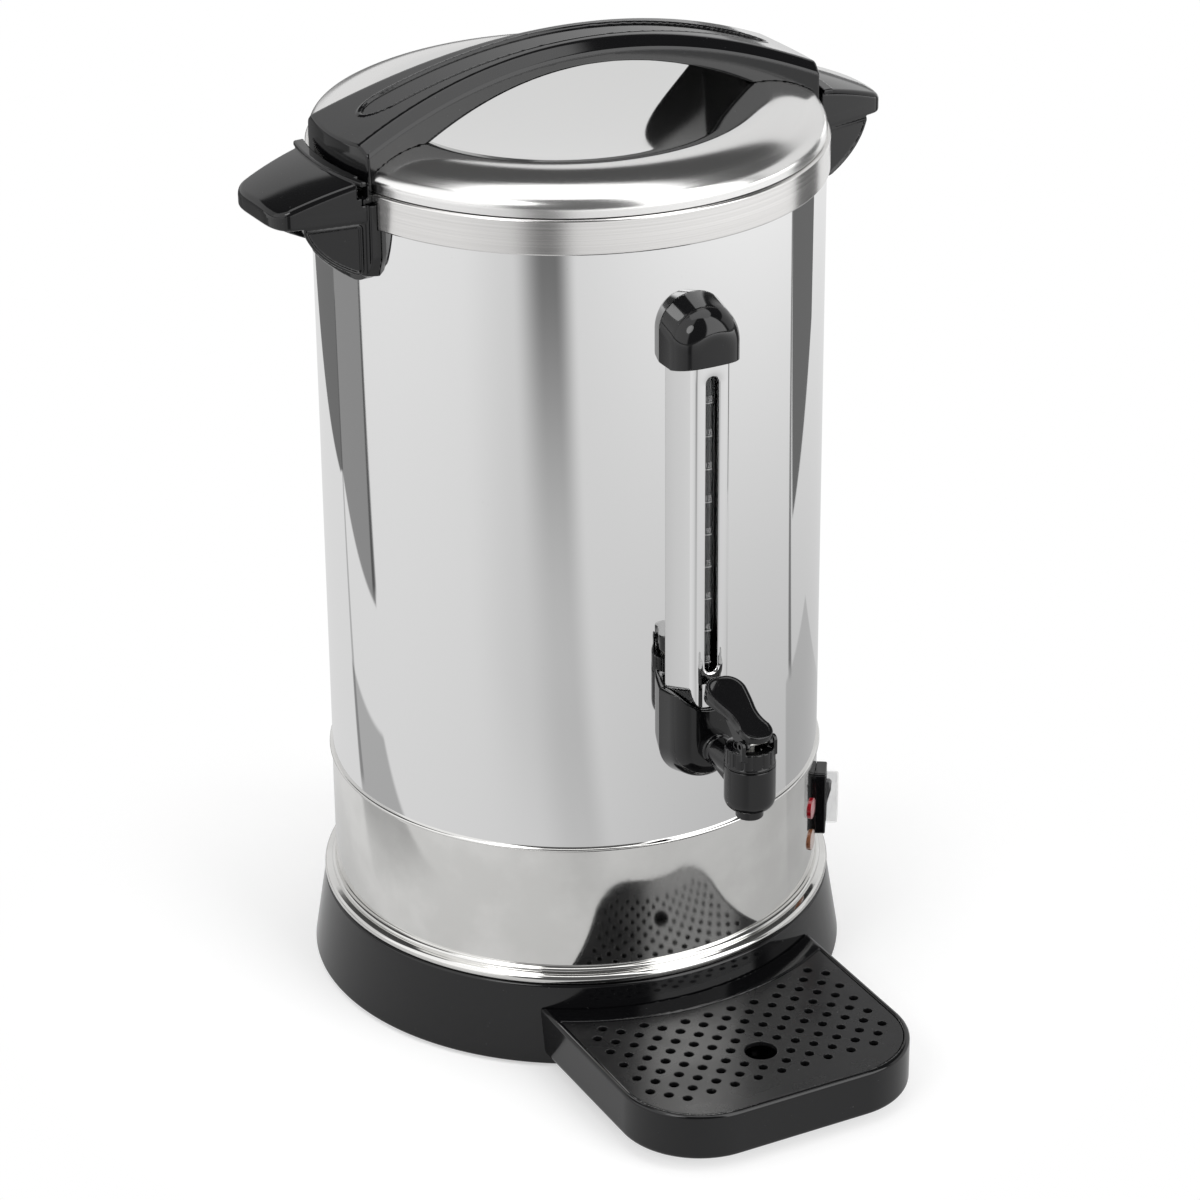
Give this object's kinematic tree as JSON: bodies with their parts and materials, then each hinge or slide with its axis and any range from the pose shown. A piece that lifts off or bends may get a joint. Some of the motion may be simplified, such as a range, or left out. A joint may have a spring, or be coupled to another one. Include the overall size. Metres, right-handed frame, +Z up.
{
  "type": "hot water urn",
  "caption": "Cylindrical double-walled hot water urn with twist-lock lid, side handles, sight gauge, lever tap, covered rocker switch and removable drip tray.",
  "frame": {"origin": "on the axis of the round body, at the surface that the feet stand on", "axes": "+Z up along the body axis, -Y towards the tap and drip tray, +X to the right seen from the front"},
  "size_m": [0.4058, 0.4515, 0.5915],
  "materials": {
    "polished_steel": "mirror polished stainless steel",
    "brushed_steel": "stainless steel with a fine round grain",
    "zinc": "zinc plated",
    "aluminium": "cast, dull",
    "element_steel": "heat-darkened tube",
    "control_case": "moulded phenolic",
    "ceramic": "glazed ceramic",
    "gloss_black": "glossy moulded plastic",
    "satin_black": "satin moulded plastic",
    "rubber": "matt rubber",
    "silicone": "translucent silicone",
    "white_nylon": "natural nylon",
    "tube_glass": "clear tube",
    "clear_cover": "clear soft plastic",
    "red_lens": "translucent red",
    "amber_lens": "translucent amber brown",
    "lamp_bezel": "moulded"
  },
  "bodies": {
    "body": {"base_screws": "zinc", "base_skirt": "gloss_black", "boil_thermostat": "control_case", "bottom_plate": "zinc", "gauge_cap": "gloss_black", "gauge_cover": "polished_steel", "gauge_scale": "satin_black", "heat_plate": "aluminium", "heating_element": "element_steel", "inner_tank": "brushed_steel", "keep_warm_thermostat": "control_case", "lamp_amber": "amber_lens", "lamp_bezels": "lamp_bezel", "lamp_red": "red_lens", "lever_pin": "zinc", "lower_band": "polished_steel", "lower_tube_seal": "rubber", "outer_shell": "polished_steel", "power_inlet": "satin_black", "rocker_pin": "zinc", "rubber_feet": "rubber", "shell_screws": "zinc", "side_handle_left": "gloss_black", "side_handle_right": "gloss_black", "sight_tube": "tube_glass", "switch_cover": "clear_cover", "switch_frame": "satin_black", "tap_body": "satin_black", "tap_bonnet": "satin_black", "tap_gasket": "rubber", "tap_housing": "gloss_black", "tap_nut": "zinc", "terminal_block": "ceramic", "thermal_cutout": "control_case", "tie_bolt": "zinc", "tie_nut": "zinc", "top_collar": "brushed_steel", "upper_tube_seal": "rubber", "valve_spring": "zinc"},
    "gasket": {"lid_gasket": "silicone"},
    "lid": {"lid_shell": "polished_steel", "lid_bar": "gloss_black", "lid_screws": "zinc"},
    "lever": {"tap_lever": "satin_black"},
    "stem": {"tap_stem": "white_nylon", "seat_cup": "silicone"},
    "rocker": {"rocker": "satin_black"},
    "tray": {"drip_tray": "gloss_black"},
    "grille": {"drip_grille": "satin_black"}
  },
  "joints": [
    {"name": "lid_lift", "type": "slide", "parent": "body", "child": "gasket", "axis": [0, 0, 1], "range_m": [0, 0.25]},
    {"name": "lid_twist", "type": "hinge", "parent": "gasket", "child": "lid", "pos_m": [0, 0, 0.533], "axis": [0, 0, -1], "range_deg": [0, 6]},
    {"name": "lever_tilt", "type": "hinge", "parent": "body", "child": "lever", "pos_m": [0, -0.226, 0.237], "axis": [1, 0, 0], "range_deg": [0, 40], "stiffness_Nm_per_rad": 0.05, "springref_deg": -11.46},
    {"name": "stem_slide", "type": "slide", "parent": "body", "child": "stem", "axis": [0, 0, 1], "range_m": [0, 0.00577], "deforming": ["valve_spring"]},
    {"name": "rocker_tilt", "type": "hinge", "parent": "body", "child": "rocker", "pos_m": [0.12412, -0.08061, 0.1035], "axis": [-0.5446, -0.8387, 0], "range_deg": [0, 20]},
    {"name": "tray_slide", "type": "slide", "parent": "body", "child": "tray", "axis": [0, -1, 0], "range_m": [0, 0.1]},
    {"name": "grille_lift", "type": "slide", "parent": "tray", "child": "grille", "axis": [0, 0, 1], "range_m": [0, 0.04]}
  ],
  "couplings": [
    {"joint": "stem_slide", "follows": "lever_tilt", "m_per_rad": 0.008271}
  ]
}
